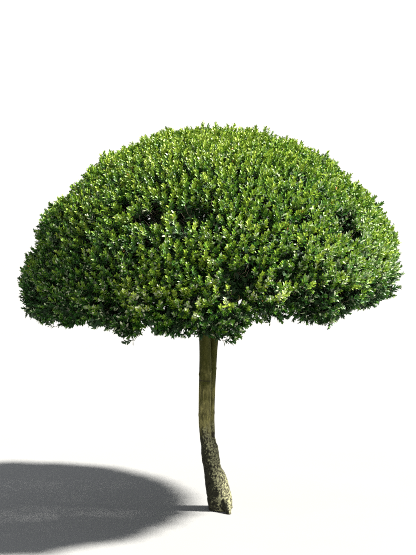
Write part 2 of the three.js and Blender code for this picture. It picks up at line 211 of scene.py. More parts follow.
# Hollows in the clipped surface where a shoot has died back: azimuth, share, radius, depth.
HOLLOWS = (
    (262.5, 0.370, 0.034, 0.085),
    (267.5, 0.364, 0.043, 0.100),
    (251, 0.371, 0.045, 0.090),
    (261, 0.416, 0.026, 0.050),
    (239, 0.357, 0.026, 0.048),
    (320, 0.420, 0.040, 0.092),
    (279, 0.534, 0.052, 0.072),
    (273, 0.545, 0.026, 0.045),
    (296, 0.625, 0.041, 0.053),
    (282, 0.597, 0.036, 0.044),
    (296, 0.527, 0.026, 0.042),
    (291, 0.530, 0.022, 0.040),
    (242, 0.593, 0.032, 0.042),
    (271, 0.611, 0.026, 0.046),
    (284, 0.294, 0.024, 0.050),
    (268, 0.510, 0.020, 0.044),
    (242, 0.496, 0.024, 0.046),
    (294, 0.475, 0.024, 0.040),
    (228, 0.433, 0.026, 0.050),
    (250, 0.291, 0.022, 0.046),
    (207, 0.610, 0.030, 0.044),
    (214, 0.470, 0.024, 0.046),
    (310, 0.300, 0.018, 0.040),
    (303, 0.398, 0.017, 0.046),
    (222, 0.300, 0.020, 0.040),
    (303, 0.650, 0.060, 0.042),
    (287, 0.660, 0.045, 0.030),
    (314, 0.640, 0.045, 0.030),
)
# Sprigs that have grown out since the last clipping, and catch the light: azimuth, share, radius, rise.
SPRIGS = (
    (275.5, 0.572, 0.030, 0.026),
    (281, 0.575, 0.030, 0.026),
    (250, 0.579, 0.038, 0.028),
    (247, 0.385, 0.030, 0.022),
    (288, 0.586, 0.032, 0.026),
    (266, 0.611, 0.028, 0.026),
    (255, 0.395, 0.024, 0.018),
    (269, 0.458, 0.020, 0.018),
    (272, 0.541, 0.022, 0.018),
    (198, 0.399, 0.022, 0.016),
    (182, 0.166, 0.024, 0.012),
    (271, 0.489, 0.018, 0.016),
    (266, 0.399, 0.018, 0.016),
    (236, 0.618, 0.018, 0.020),
    (255, 0.572, 0.018, 0.018),
    (278, 0.677, 0.018, 0.018),
    (287, 0.541, 0.018, 0.018),
    (226, 0.388, 0.016, 0.014),
    (246, 0.506, 0.016, 0.016),
    (253, 0.499, 0.018, 0.016),
    (262, 0.371, 0.018, 0.014),
    (231, 0.461, 0.016, 0.012),
    (310, 0.690, 0.022, 0.022),
    (279, 0.700, 0.026, 0.024),
    (303, 0.660, 0.022, 0.022),
    (258, 0.430, 0.014, 0.012),
    (280, 0.413, 0.016, 0.012),
    (60, 0.600, 0.026, 0.020),
    (95, 0.560, 0.022, 0.018),
    (130, 0.630, 0.026, 0.022),
    (162, 0.500, 0.022, 0.018),
)

# The leaf materials, from the lightest tone to the darkest and then the rarer kinds, with their roughness.
LEAF_TONES = {
    "new": 0.46,
    "fresh": 0.44,
    "light": 0.43,
    "mature": 0.41,
    "deep": 0.41,
    "shaded": 0.6,
    "pale": 0.45,
    "withered": 0.6,
    "silvered": 0.4,
}
SHADED, PALE_HIGHLIGHT, WITHERED, PAINTED_GLINT = range(5, 9)  # their places in that list
# How light a shoot's leaves are, from 0 to 1: what each of these adds in full, or for a metre of hollow or
# sprig, and where one tone turns to the next. Much of it is painted light and shade: painted light on upward
# faces, on the front, on the band above the front hem and on the glinting side; painted shade on the shady
# side, in hollows and grooves and underneath; and leaves that face the key light full on are painted a
# little darker. Sprigs are lighter, partly as new growth and partly as painted light where they stand out;
# the drift is tone that differs at random.
VIGOUR = {
    "light": 0.31,
    "front": 0.08,
    "painted_light_fringe": 0.17,
    "shady_side": -0.25,
    "drift": 0.09,
    "painted_glint_side": 0.07,
    "sunny_side": -0.12,
    "hollow": -2.5,
    "groove": -0.1,
    "under": -0.32,
    "sprig": 13,
}
MEAN_VIGOUR = 0.41
TONE_STEPS = np.array([0.93, 0.69, 0.48, 0.3, 0.12])
TIP_VIGOUR = 0.42  # from a shoot's root to its tip
VIGOUR_SPREAD = {"shoot": 0.12, "leaf": 0.07}
DRIFT_SPACINGS = (0.11, 0.038)
PAINTED_LIGHT_FRINGE = {"top": 1.04, "fades_over": 0.06}  # the band above the front hem where leaves are painted lighter, as painted light
# The side facing the key light full on, where leaves are painted a little darker
SUNNY_SIDE = {"faces": np.array([0.52, -0.42, 0.74]), "sharpness": 7}
# The side where leaves are painted pale as glints of the key light, and a little lighter, more so higher up
PAINTED_GLINT_SIDE = {"faces": np.array([0.87, -0.4, 0.2]), "sharpness": 5}
PAINTED_GLINT_HEIGHT = {"from": 0.84, "full_after": 0.16, "least": 0.25}  # that side is more so higher up
# Shares of pale leaves, of leaves painted as glints and of withered leaves: everywhere, and what is added on
# sprigs and on those sides
# pale leaves: in part undersides turned out, in part painted highlights on sprigs and on the band above the
# front hem
PALE_HIGHLIGHT_SHARE = {"everywhere": 0.012, "sprig": 14, "painted_light_fringe": 0.085}
PAINTED_GLINT_SHARE = {"everywhere": 0.04, "painted_glint_side": 0.25, "shady_side": 0.03}
WITHERED_SHARE = 0.0008
GOLDEN_ANGLE = 137.5
LEAF_SPLAY = {"root": 60, "less_at_tip": 40, "loose": 8}  # degrees between a leaf and its shoot
LEAF_SIZES = {"root": 1.02, "less_at_tip": 0.3, "spread": (0.82, 1.16), "width_spread": (0.85, 1.15)}
LEAF_TILT = 0.3  # how loosely leaves face
# Older leaves inside the crown, with their splay in radians, and their places along the shoots' twigs and
# along the twigs before them.
INNER_LEAF = {"length": 0.033, "width": 0.018, "sizes": (0.8, 1.2), "splay": (0.7, 1.35)}
INNER_PLACES = (np.array([0.25, 0.48, 0.7, 0.92]), np.linspace(0.05, 1.0, 27))
# They end this far above the underside, and most have dropped behind hollows that are deeper than given.
INNER_GAPS = {"above_underside": 0.014, "behind_hollows": 0.85, "hollow": 0.03}
MOST_TRIANGLES = 199000  # of one piece of leaves

# Sizes of the patterns on the bark, and shared settings of shader nodes
BARK_PATCH, BARK_PLATE, BARK_STREAK = 0.04, 0.0078, 0.011
MULTIPLY_ADD = {"operation": "MULTIPLY_ADD"}
SMOOTH_STEP = {"interpolation_type": "SMOOTHSTEP"}
COLOUR_MIX = {"data_type": "RGBA"}

SUN_FROM = Vector((0.66, -0.06, 0.75))
SUN_COLOUR, SKY_COLOUR = (1.0, 0.975, 0.92), (0.9, 0.94, 1.0, 1.0)
SUN_ANGLE = 5  # degrees across, for soft shadows
CAMERA = {"x": -0.0505, "looks_down": 6.32, "lens": 99.9, "sensor": 36.0}
# The floor's rings, the last flat one, and how gently it rises past that
FLOOR_SIDES = 96
FLOOR_RINGS = (0.02, 2, 5, 10, 15, *range(20, 126, 5))
FLOOR_FLAT_TO, FLOOR_RISE = 15, 700


def linear(hex_code):
    """An sRGB hex colour as linear red, green and blue."""
    channels = [int(hex_code[i : i + 2], 16) / 255 for i in (1, 3, 5)]
    return tuple(c / 12.92 if c <= 0.04045 else ((c + 0.055) / 1.055) ** 2.4 for c in channels)


def length_property(name, description, default, low=0.0, high=5.0):
    return bpy.props.FloatProperty(
        name=name, description=description, default=default, min=low, max=high, precision=4, unit="LENGTH"
    )


def colour_property(name, description, hex_code):
    shown = {"name": name, "description": description, "default": linear(hex_code)}
    return bpy.props.FloatVectorProperty(min=0.0, max=1.0, size=3, subtype="COLOR", **shown)


def number_property(name, description, default, low=0.0, high=4.0):
    return bpy.props.FloatProperty(name=name, description=description, default=default, min=low, max=high)


class HollyCrown(bpy.types.PropertyGroup):
    plant_height: length_property("Plant height", "From the ground to the top leaf", 1.575)
    width: length_property("Crown width", "Across the widest leaves", 1.545)
    widest_height: length_property("Widest height", "Height at which the crown is widest", 0.98)
    hem_height: length_property("Hem height", "Lowest leaves round the rim", 0.825)
    vault_height: length_property("Vault height", "Leaves of the hollow underside, round the stems", 0.98)
    hem_width: length_property("Hem width", "How far the rim rounds in under the widest line", 0.115)
    dome_bulge: number_property("Dome bulge", "2 is an ellipse, and less is more pointed", 1.93, 1.0)
    hand_clipping: length_property("Hand clipping", "How far the clipped surface wanders", 0.009)
    shoot_spacing: length_property("Shoot spacing", "Between neighbouring leafy shoots", 0.0232)
    under_spacing: length_property("Spacing underneath", "Between shoots of the underside", 0.038)
    shoot_length: length_property("Shoot length", "Of a leafy shoot", 0.052)
    shoot_lift: number_property("Shoot lift", "How strongly shoots on the flanks turn up", 0.75)
    leaf_length: length_property("Leaf length", "Of a full-grown leaf", 0.0205)
    leaf_width: length_property("Leaf width", "Of a full-grown leaf", 0.0085)
    leaves_to_shoot: bpy.props.IntProperty(
        name="Leaves to a shoot", description="Leaves that each shoot carries", default=20, min=3, max=30
    )


class HollyLeafColours(bpy.types.PropertyGroup):
    new: colour_property("New growth", "Yellow-green leaves at the tips", "#b2c856")
    fresh: colour_property("Fresh leaf", "Leaves of this summer", "#9cb43a")
    light: colour_property("Light leaf", "Last year's leaves in the light", "#769a29")
    mature: colour_property("Mature leaf", "Full-grown leaves", "#4e7c21")
    deep: colour_property("Deep leaf", "Older leaves further in", "#2c5d19")
    shaded: colour_property("Shaded leaf", "Dark leaves of the shaded inside", "#1b3d0f")
    # pale undersides, and also painted highlights on sprigs and above the front hem
    pale: colour_property("Pale leaf", "Leaves that turn a silvery underside out", "#d5dcb6")
    withered: colour_property("Withered leaf", "The odd dead leaf", "#a0692f")
    # painted glints: pale leaves that stand in for reflections of the key light
    silvered: colour_property("Silvered leaf", "Waxy leaves that mirror the light", "#bccf9e")


class HollyWood(bpy.types.PropertyGroup):
    skin_voxel: length_property("Skin voxel", "Step of the mesh that carries the bark", 0.003, 0.001, 0.02)
    old_relief: length_property("Relief of old bark", "Height of the knobs below the fork", 0.0028)
    young_relief: length_property("Relief of young bark", "Height of the fluting above the fork", 0.0012)
    old_bark: colour_property("Old bark", "Weathered grey-tan bark below the fork", "#6a6850")
    young_bark: colour_property("Young bark", "Smooth olive-tan bark above it", "#807b4c")
    # the dark green of algae on the stems, also used as painted shade and green bounce light under the crown
    algae: colour_property("Algae", "Green film on the bark", "#36390a")
    lichen: colour_property("Lichen", "Pale crusts", "#9d9d79")
    crevice: colour_property("Crevice", "Dark cracks and knots", "#2c2720")
    # the dark colour painted on the old bark's side away from the light: painted shade, in part sooty algae
    soot: colour_property("Soot", "Sooty algae on the shaded side of the old bark", "#25251c")
    twig_bark: colour_property("Twig bark", "Brown-grey skin of twigs", "#5d5140")


class HollyStage(bpy.types.PropertyGroup):
    floor: colour_property("Floor", "Pale studio floor", "#9c9c9b")
    key_strength: number_property("Key", "Strength of the key light", 12.0, high=100.0)
    fill_strength: number_property("Fill", "Strength of the sky's light", 0.42)
    camera_height: length_property("Camera height", "Of the lens above the ground", 1.645)
    camera_distance: length_property("Camera distance", "From the trunk", 6.2, 0.0, 50.0)


# Meshes and materials
def make_piece(name, vertices, triangles, materials, material_of=None):
    """A mesh object from arrays."""
    mesh = bpy.data.meshes.new(name)
    mesh.vertices.add(len(vertices))
    mesh.vertices.foreach_set("co", np.ascontiguousarray(vertices, np.float32).ravel())
    mesh.loops.add(triangles.size)
    mesh.loops.foreach_set("vertex_index", np.ascontiguousarray(triangles, np.int32).ravel())
    mesh.polygons.add(len(triangles))
    mesh.polygons.foreach_set("loop_start", np.arange(0, triangles.size, 3, dtype=np.int32))
    for material in materials:
        mesh.materials.append(material)
    if material_of is not None:
        mesh.polygons.foreach_set("material_index", np.ascontiguousarray(material_of, np.int32))
    mesh.update(calc_edges=True)
    piece = bpy.data.objects.new(name, mesh)
    bpy.context.scene.collection.objects.link(piece)
    return piece


def add_node(tree, kind, output=None, settings=None, inputs=None, stops=()):
    """Adds a shader node with its settings, its sockets' values or links, and the stops of its ramp. Gives
    the node, or the output that is named."""
    node = tree.nodes.new("ShaderNode" + kind)
    for name, value in (settings or {}).items():
        setattr(node, name, value)
    for name, value in (inputs or {}).items():
        if isinstance(value, bpy.types.NodeSocket):
            tree.links.new(value, node.inputs[name])
        else:
            node.inputs[name].default_value = value
    for i, (place, colour) in enumerate(stops):
        ramp = node.color_ramp.elements
        element = ramp[i] if i < len(ramp) else ramp.new(place)
        element.position, element.color = place, (*colour, 1.0)
    return node if output is None else node.outputs[output]


def shade(colour, factor, lift=0.0):
    """A colour made darker or lighter."""
    return tuple(min(1.0, factor * c + lift) for c in colour)


def new_material(name):
    material = bpy.data.materials.new(name)
    material.use_nodes = True
    material.node_tree.nodes.clear()
    return material, material.node_tree


def mottled_material(name, size, detail, stops, finish):
    """A plain surface whose colour drifts between two shades in patches of the given size. finish gives
    the shader's other sockets, from the tree and the patches."""
    material, tree = new_material(name)
    place = add_node(tree, "TexCoord", "Object")
    patches = add_node(
        tree, "TexNoise", "Fac", inputs={"Vector": place, "Scale": 1 / size, "Detail": detail}
    )
    colour = add_node(tree, "ValToRGB", "Color", inputs={"Fac": patches}, stops=stops)
    sockets = {"Base Color": colour, **finish(tree, patches)}
    shader = add_node(tree, "BsdfPrincipled", "BSDF", inputs=sockets)
    add_node(tree, "OutputMaterial", inputs={"Surface": shader})
    return material


def leaf_material(name, colour, roughness):
    """A leathery evergreen leaf: one plain colour with faint mottling 6 mm across, and a soft gloss."""

    def finish(tree, patches):
        span = {"Value": patches, "From Min": 0.3, "From Max": 0.7}
        dullness = {"To Min": roughness - 0.06, "To Max": roughness + 0.08}
        gloss = add_node(tree, "MapRange", "Result", inputs={**span, **dullness})
        return {"Roughness": gloss, "IOR": 1.5, "Specular IOR Level": 0.5}

    stops = ((0.35, shade(colour, 0.8)), (0.65, shade(colour, 1.15, 0.004)))
    return mottled_material(name, 0.006, 2.0, stops, finish)


def twig_material(wood):
    """Thin bark of holly twigs: brown-grey, dull, and clouded every 12 mm."""
    stops = ((0.35, shade(wood.twig_bark, 0.55)), (0.68, shade(wood.twig_bark, 1.6)))
    finish = {"Roughness": 0.78, "IOR": 1.45}
    return mottled_material("holly_twig_bark", 0.012, 4.0, stops, lambda *_: finish)


def bark_material(wood):
    """Holly bark. Below the fork it is old and rough: grey-tan plates 8 mm across with dark pits between
    them, crusted with pale lichen, and painted dark as shade on the side away from the light, in part as
    sooty algae. Above the fork it is smooth and olive-tan, streaked along, and painted darker and greener
    towards the crown as the crown's shade and green bounce light, in part a green coat of algae."""
    material, tree = new_material("holly_bark")
    place = add_node(tree, "TexCoord", "Object")
    apart = add_node(tree, "SeparateXYZ", inputs={"Vector": place})
    across, height = apart.outputs["X"], apart.outputs["Z"]
    facing = add_node(tree, "NewGeometry", "Normal")
    lit_side = add_node(tree, "SeparateXYZ", "X", inputs={"Vector": facing})
    grain = {"Vector": place, "Scale": 1 / BARK_PATCH, "Detail": 3.0, "Roughness": 0.6}
    patch = add_node(tree, "TexNoise", "Fac", inputs=grain)
    edge = add_node(tree, "Math", "Value", MULTIPLY_ADD, {0: patch, 1: 0.12, 2: height})
    span = {"Value": edge, "From Min": FORK_HEIGHT + 0.05, "From Max": FORK_HEIGHT + 0.15}
    young = add_node(tree, "MapRange", "Result", SMOOTH_STEP, span)

    # old bark: plates and pits, a little taller than wide, and painted shade on the side away from the
    # light, in part sooty algae
    squat = add_node(tree, "Mapping", "Vector", inputs={"Vector": place, "Scale": (1.0, 1.0, 0.9)})
    grain = {"Vector": squat, "Scale": 1 / BARK_PLATE, "Detail": 3.0, "Roughness": 0.75}
    plates = add_node(tree, "TexNoise", "Fac", inputs=grain)
    stops = (
        (0.42, tuple(wood.crevice)),
        (0.47, shade(wood.old_bark, 0.75)),
        (0.52, shade(wood.old_bark, 1.1)),
        (0.59, shade(wood.lichen, 1.04)),
    )
    old = add_node(tree, "ValToRGB", "Color", inputs={"Fac": plates}, stops=stops)
    # the edge of the painted shade is broken by the plates, so pale flecks of bark show in it
    broken = add_node(tree, "Math", "Value", MULTIPLY_ADD, {0: plates, 1: 3.0, 2: -1.5})
    speckled = add_node(tree, "Math", "Value", {"operation": "ADD"}, {0: broken, 1: lit_side})
    painted_shade_edge = add_node(tree, "Math", "Value", MULTIPLY_ADD, {0: patch, 1: -1.1, 2: speckled})
    span = {"Value": painted_shade_edge, "From Min": -0.42, "From Max": -0.8, "To Max": 0.9}
    soot = add_node(tree, "MapRange", "Result", SMOOTH_STEP, span)
    weathered_and_shaded = add_node(tree, "Mix", 2, COLOUR_MIX, {"Factor": soot, 6: old, 7: (*wood.soot, 1.0)})

    # young bark: streaks, and a dark green coat that thickens towards the crown: painted shade and green
    # bounce light under the crown, in part algae
    along = add_node(tree, "Mapping", "Vector", inputs={"Vector": place, "Scale": (1.0, 1.0, 0.2)})
    grain = {"Vector": along, "Scale": 1 / BARK_STREAK, "Detail": 4.0, "Roughness": 0.72}
    streaks = add_node(tree, "TexNoise", "Fac", inputs=grain)
    stops = (
        (0.39, shade(wood.young_bark, 0.4)),
        (0.5, tuple(wood.young_bark)),
        (0.60, shade(wood.young_bark, 1.75)),
    )
    smooth = add_node(tree, "ValToRGB", "Color", inputs={"Fac": streaks}, stops=stops)
    climb = add_node(tree, "Math", "Value", MULTIPLY_ADD, {0: patch, 1: 0.35, 2: height})
    span = {"Value": climb, "From Min": 0.52, "From Max": 0.80, "To Min": 0.05, "To Max": 0.93}
    film_and_painted_shade = add_node(tree, "MapRange", "Result", SMOOTH_STEP, span)
    green = add_node(tree, "Mix", 2, COLOUR_MIX, {"Factor": film_and_painted_shade, 6: smooth, 7: (*wood.algae, 1.0)})
    skin = add_node(tree, "Mix", 2, COLOUR_MIX, {"Factor": young, 6: weathered_and_shaded, 7: green})

    # a healed ring round the front stem, and the knot of a cut branch at the fork
    dark = (*wood.crevice, 1.0)
    level = add_node(tree, "Math", "Value", MULTIPLY_ADD, {0: across, 1: 0.05, 2: height})
    near = {0: level, 1: RING_HEIGHT, 2: 0.0022}
    at_ring = add_node(tree, "Math", "Value", {"operation": "COMPARE"}, near)
    span = {"Value": across, "From Min": -0.040, "From Max": -0.046, "To Max": 0.75}
    on_front = add_node(tree, "MapRange", "Result", SMOOTH_STEP, span)
    ring = add_node(tree, "Math", "Value", {"operation": "MULTIPLY"}, {0: at_ring, 1: on_front})
    ringed = add_node(tree, "Mix", 2, COLOUR_MIX, {"Factor": ring, 6: skin, 7: dark})
    from_knot = add_node(tree, "VectorMath", "Value", {"operation": "DISTANCE"}, {0: place, 1: KNOT})
    span = {"Value": from_knot, "From Min": 0.017, "From Max": 0.009, "To Max": 0.9}
    knot = add_node(tree, "MapRange", "Result", SMOOTH_STEP, span)
    knotted = add_node(tree, "Mix", 2, COLOUR_MIX, {"Factor": knot, 6: ringed, 7: dark})

    relief = add_node(tree, "Math", "Value", MULTIPLY_ADD, {0: plates, 1: 2.0, 2: streaks})
    height_of = {"Height": relief, "Strength": 0.8, "Distance": 0.002}
    bump = add_node(tree, "Bump", "Normal", inputs=height_of)
    span = {"Value": plates, "From Min": 0.3, "From Max": 0.7, "To Min": 0.72, "To Max": 0.92}
    dull = add_node(tree, "MapRange", "Result", inputs=span)
    finish = {"Roughness": dull, "Normal": bump, "IOR": 1.45, "Specular IOR Level": 0.2}
    shader = add_node(tree, "BsdfPrincipled", "BSDF", inputs={"Base Color": knotted, **finish})
    add_node(tree, "OutputMaterial", inputs={"Surface": shader})
    return material


# Small vector helpers, on arrays of points
def unit(vectors):
    return vectors / np.maximum(np.linalg.norm(vectors, axis=-1, keepdims=True), 1e-9)


def aside_of(direction):
    """An axis well away from each direction: up, or to the right of one that is nearly upright."""
    level = np.abs(direction[..., 2:3]) < 0.8
    return np.where(level, np.array([0.0, 0.0, 1.0]), np.array([1.0, 0.0, 0.0]))


def bell(apart, width):
    """1 in the middle and less away from it, as a bell curve of the given width."""
    return np.exp(-((apart / width) ** 2))


def only(kept, **measures):
    """The kept rows of each array, by name."""
    return {name: values[kept] for name, values in measures.items()}


def turn_from(middle, azimuth):
    """The turn from an azimuth in degrees to others in radians, the shorter way round."""
    return np.mod(azimuth - math.radians(middle) + np.pi, 2 * np.pi) - np.pi


def lattice_noise(points, spacing, seed):
    """Smooth noise from -1 to 1 with features as far apart as the spacing, one length or three."""
    table = np.random.default_rng(seed).random((32, 32, 32)) * 2 - 1
    scaled = points / np.asarray(spacing)
    corner = np.floor(scaled).astype(int)
    share = scaled - corner
    share = share * share * (3 - 2 * share)
    total = 0.0
    for step in np.ndindex(2, 2, 2):
        weight = np.prod(np.where(step, share, 1 - share), axis=-1)
        i, j, k = ((corner + step) % 32).T
        total = total + weight * table[i, j, k]
    return total


def bezier(start, bend, end, shares):
    """Points of quadratic curves, as an array of curve, point, axis."""
    t = np.asarray(shares)[:, None]
    start, bend, end = (np.asarray(p, float)[..., None, :] for p in (start, bend, end))
    return (1 - t) ** 2 * start + 2 * t * (1 - t) * bend + t**2 * end


def tubes(paths, radii, sides, capped=True):
    """Vertices and triangles of tubes along paths (tube, point, axis), with radii (tube, point). One that
    isn't capped has its root sunk in another, and ends in a point."""
    count, steps, _ = paths.shape
    tangents = unit(np.gradient(paths, axis=1))
    chord = unit(paths[:, -1] - paths[:, 0])
    across = unit(np.cross(tangents, aside_of(chord)[:, None, :]))
    over = np.cross(tangents, across)
    angles = 2 * np.pi * np.arange(sides) / sides
    ring = (
        across[:, :, None, :] * np.cos(angles)[None, None, :, None]
        + over[:, :, None, :] * np.sin(angles)[None, None, :, None]
    )
    skin = paths[:, :, None, :] + ring * radii[:, :, None, None]
    rings = steps if capped else steps - 1
    root = [paths[:, :1]] if capped else []
    vertices = np.concatenate([skin[:, :rings].reshape(count, -1, 3), *root, paths[:, -1:]], axis=1)
    here = np.arange(sides)
    there = (here + 1) % sides
    rows = (np.arange(rings - 1) * sides)[:, None]
    low, low_next = rows + here, rows + there
    high, high_next = low + sides, low_next + sides
    faces = [np.stack([low, low_next, high_next, low, high_next, high], -1).reshape(-1, 3)]
    if capped:
        faces.append(np.stack([np.full(sides, rings * sides), there, here], -1))
    last = (rings - 1) * sides
    faces.append(np.stack([np.full(sides, vertices.shape[1] - 1), last + here, last + there], -1))
    triangles = np.concatenate(faces)[None] + (np.arange(count) * vertices.shape[1])[:, None, None]
    return vertices.reshape(-1, 3), triangles.reshape(-1, 3)


class Pile:
    """Meshes put together into one."""

    def __init__(self):
        self.vertices, self.triangles, self.materials, self.count = [], [], [], 0

    def add(self, vertices, triangles, material=0):
        self.vertices.append(vertices)
        self.triangles.append(triangles + self.count)
        self.materials.append(np.broadcast_to(material, len(triangles)))
        self.count += len(vertices)

    def joined(self):
        return tuple(np.concatenate(parts) for parts in (self.vertices, self.triangles, self.materials))


# Limbs
def smooth_path(sections, shares):
    """Points and radii along a limb, by the same curve through its sections as the part's source."""
    points = np.array([(x, y, z) for z, x, y, _ in sections])
    radii = np.array([radius for *_, radius in sections])
    points = np.vstack([2 * points[0] - points[1], points, 2 * points[-1] - points[-2]])
    radii = np.concatenate([radii[:1], radii, radii[-1:]])
    span = np.minimum(np.asarray(shares) * (len(sections) - 1), len(sections) - 1 - 1e-9)
    index = span.astype(int)
    t = (span - index)[:, None]
    p0, p1, p2, p3 = (points[index + i] for i in range(4))
    d0, d1, d2 = (
        np.sqrt(np.linalg.norm(b - a, axis=1, keepdims=True)) for a, b in ((p0, p1), (p1, p2), (p2, p3))
    )
    m1 = ((p1 - p0) / d0 - (p2 - p0) / (d0 + d1) + (p2 - p1) / d1) * d1
    m2 = ((p2 - p1) / d1 - (p3 - p1) / (d1 + d2) + (p3 - p2) / d2) * d1
    path = p1 + m1 * t + (3 * (p2 - p1) - 2 * m1 - m2) * t**2 + (2 * (p1 - p2) + m1 + m2) * t**3
    r0, r1, r2, r3 = (radii[index + i] for i in range(4))
    t = t[:, 0]
    v1, v2 = (r2 - r0) / 2, (r3 - r1) / 2
    return path, r1 + v1 * t + (3 * (r2 - r1) - 2 * v1 - v2) * t**2 + (2 * (r1 - r2) + v1 + v2) * t**3


def foot_swell(angle, height):
    """The foot spreads in toes at the ground, and its skin ripples slightly above them."""
    low = np.maximum(0, 1 - height / ROOT_FLARE["height"]) ** 2
    sharp = ROOT_FLARE["sharpness"]
    toes = sum(np.maximum(0, np.cos(angle - math.radians(toe))) ** sharp for toe in ROOT_FLARE["toes"])
    ripple = FOOT_RIPPLE["swell"] * np.sin(FOOT_RIPPLE["count"] * angle)
    fade = np.clip(1 - (height - FOOT_RIPPLE["from_height"]) / FOOT_RIPPLE["fades_over"], 0, 1)
    return 1 + ROOT_FLARE["swell"] * low * (toes - 0.4) + ripple * fade


def upright_limb(sections, sides, swell=None):
    """A closed limb with level sections."""
    tall = sections[-1][0] - sections[0][0]
    path, radii = smooth_path(sections, np.linspace(0, 1, int(tall / LIMB_STEP) + 1))
    angles = 2 * np.pi * np.arange(sides) / sides
    radii = np.repeat(radii[:, None], sides, 1)
    if swell:
        radii = radii * swell(angles[None, :], path[:, 2:3])
    ring = np.stack([np.cos(angles), np.sin(angles), np.zeros(sides)], -1)
    skin = path[:, None, :] + ring[None] * radii[..., None]
    vertices = np.concatenate([skin.reshape(-1, 3), path[:1], path[-1:]])
    _, triangles = tubes(path[None], radii[None, :, 0], sides)
    return vertices, triangles


def heart_of(azimuth, height):
    """The middle of a mass of foliage, from the crown's axis. height is its bough's, if it has one."""
    distance, tall = TOP_HEART if height is None else SIDE_HEART
    return np.array([distance * math.cos(azimuth), distance * math.sin(azimuth), tall])


HEARTS = np.array([heart_of(math.radians(azimuth), height) for _, azimuth, _, height in MASSES])


def hem_rise(azimuth):
    """How much higher the rim is cut there."""
    rise = 0.0
    for middle, width, height in HEM_WAVES:
        rise = rise + height * bell(turn_from(middle, azimuth), math.radians(width))
    return rise


def flank_depth(azimuth, share):
    """How far the dome is cut back there."""
    back = 0.0
    for middle, place, width, span, depth in FLANK_DIPS:
        apart = turn_from(middle, azimuth) / math.radians(width)
        back = back + depth * np.exp(-(apart**2) - ((share - place) / span) ** 2)
    return back


def crown_point(crown, azimuth, share, inset=0.0):
    """Points of the crown from its axis, inset from its surface. share is 0 at the top, and 1 under the
    middle."""
    inset = inset + flank_depth(azimuth, share)
    side = np.cos(azimuth)
    wander = crown.hand_clipping * np.sin(3 * azimuth + 9 * share) * np.sin(7 * share + 2 * azimuth)
    outer = crown.width / 2 - inset + wander * np.sin(np.pi * share)
    inner = outer - crown.hem_width - CLIPPED_ASLANT["hem_width"] * side
    widest = crown.widest_height + CLIPPED_ASLANT["widest"] * side
    hem = crown.hem_height + CLIPPED_ASLANT["hem"] * side + hem_rise(azimuth) + inset
    vault = crown.vault_height + inset * UNDER_SHARE
    rise = (1 - np.minimum(share, HEM_START) / HEM_START) * (np.pi / 2)
    power = 2 / (crown.dome_bulge + CLIPPED_ASLANT["bulge"] * side)
    dip = np.clip((share - HEM_START) / (VAULT_START - HEM_START), 0, 1) * (np.pi / 2)
    outwards = np.clip((1 - share) / (1 - VAULT_START), 0, 1)
    on_dome, on_hem = share <= HEM_START, share <= VAULT_START
    over_rim = np.where(on_hem, inner + (outer - inner) * np.cos(dip), inner * outwards)
    radius = np.where(on_dome, outer * np.maximum(np.cos(rise), 0) ** power, over_rim)
    vaulted = hem + (vault - hem) * (1 - outwards**2)
    under_rim = np.where(on_hem, widest - (widest - hem) * np.sin(dip), vaulted)
    domed = widest + (crown.plant_height - inset - widest) * np.sin(rise) ** power
    height = np.where(on_dome, domed, under_rim)
    return np.stack([radius * np.cos(azimuth), radius * np.sin(azimuth), height], -1)


def above_underside(crown, points):
    """How far points from the crown's axis are above its underside."""
    azimuth, distance = np.arctan2(points[:, 1], points[:, 0]), np.hypot(points[:, 0], points[:, 1])
    rim = crown_point(crown, azimuth, VAULT_START)
    share = np.minimum(1, distance / np.hypot(rim[:, 0], rim[:, 1]))
    return points[:, 2] - rim[:, 2] - (crown.vault_height - rim[:, 2]) * (1 - share**2)


def core_normal(crown, azimuth, share):
    """The direction square to the core's surface, pointing out."""
    step = 0.01
    middle = np.clip(share, 2 * step, 1 - 2 * step)
    one_side = crown_point(crown, azimuth + step, middle, CORE_INSET)
    across = one_side - crown_point(crown, azimuth - step, middle, CORE_INSET)
    below = crown_point(crown, azimuth, middle + step, CORE_INSET)
    down = below - crown_point(crown, azimuth, middle - step, CORE_INSET)
    return unit(np.cross(down, across))


def limb_tip(crown, mass):
    """The tip of the limb that carries a mass, from the crown's axis: point, radius, facing and lean."""
    name, azimuth, stem, height = mass
    if height is None:
        (z0, x0, y0, _), (z1, x1, y1, radius) = STEM_SECTIONS[stem][-2:]
        lean = unit(np.array([x1 - x0, y1 - y0, z1 - z0]))
        return np.array([x1, y1, z1]) - CROWN_AXIS, radius, np.array([0.0, 0.0, 1.0]), lean
    azimuth = math.radians(azimuth)
    rim = crown_point(crown, azimuth, VAULT_START, CORE_INSET)
    share = 1 - BOUGH["tip_from_axis"] / math.hypot(rim[0], rim[1]) * (1 - VAULT_START)
    point = crown_point(crown, azimuth, share, CORE_INSET) - np.array([0, 0, BOUGH["below_core"]])
    facing = unit(heart_of(azimuth, height) - point)
    return point, BOUGH["radii"][1], facing, facing


def stem_centre(stem, height):
    levels, x, y, _ = np.array(STEM_SECTIONS[stem]).T
    return np.array([np.interp(height, levels, x), np.interp(height, levels, y), height])


def bough_path(crown, mass, steps):
    """A bough from inside its stem, rising to the tip that carries its mass."""
    point, _, facing, _ = limb_tip(crown, mass)
    start = stem_centre(mass[2], mass[3])
    tip = point + CROWN_AXIS
    bend = tip - facing * BOUGH["rise"] * np.linalg.norm(tip - start)
    return bezier(start, bend, tip, np.linspace(0, 1, steps))


def mass_stem_path(crown, mass):
    """The stem inside a mass, which takes over from the limb's tip. From the crown's axis."""
    point, _, facing, lean = limb_tip(crown, mass)
    start = point - facing * MASS_STEM["sunk"]
    bend = start + facing * MASS_STEM["length"] / 3
    shares = np.linspace(0, 1, MASS_STEM["steps"])
    return bezier(start, bend, point + lean * MASS_STEM["length"], shares)


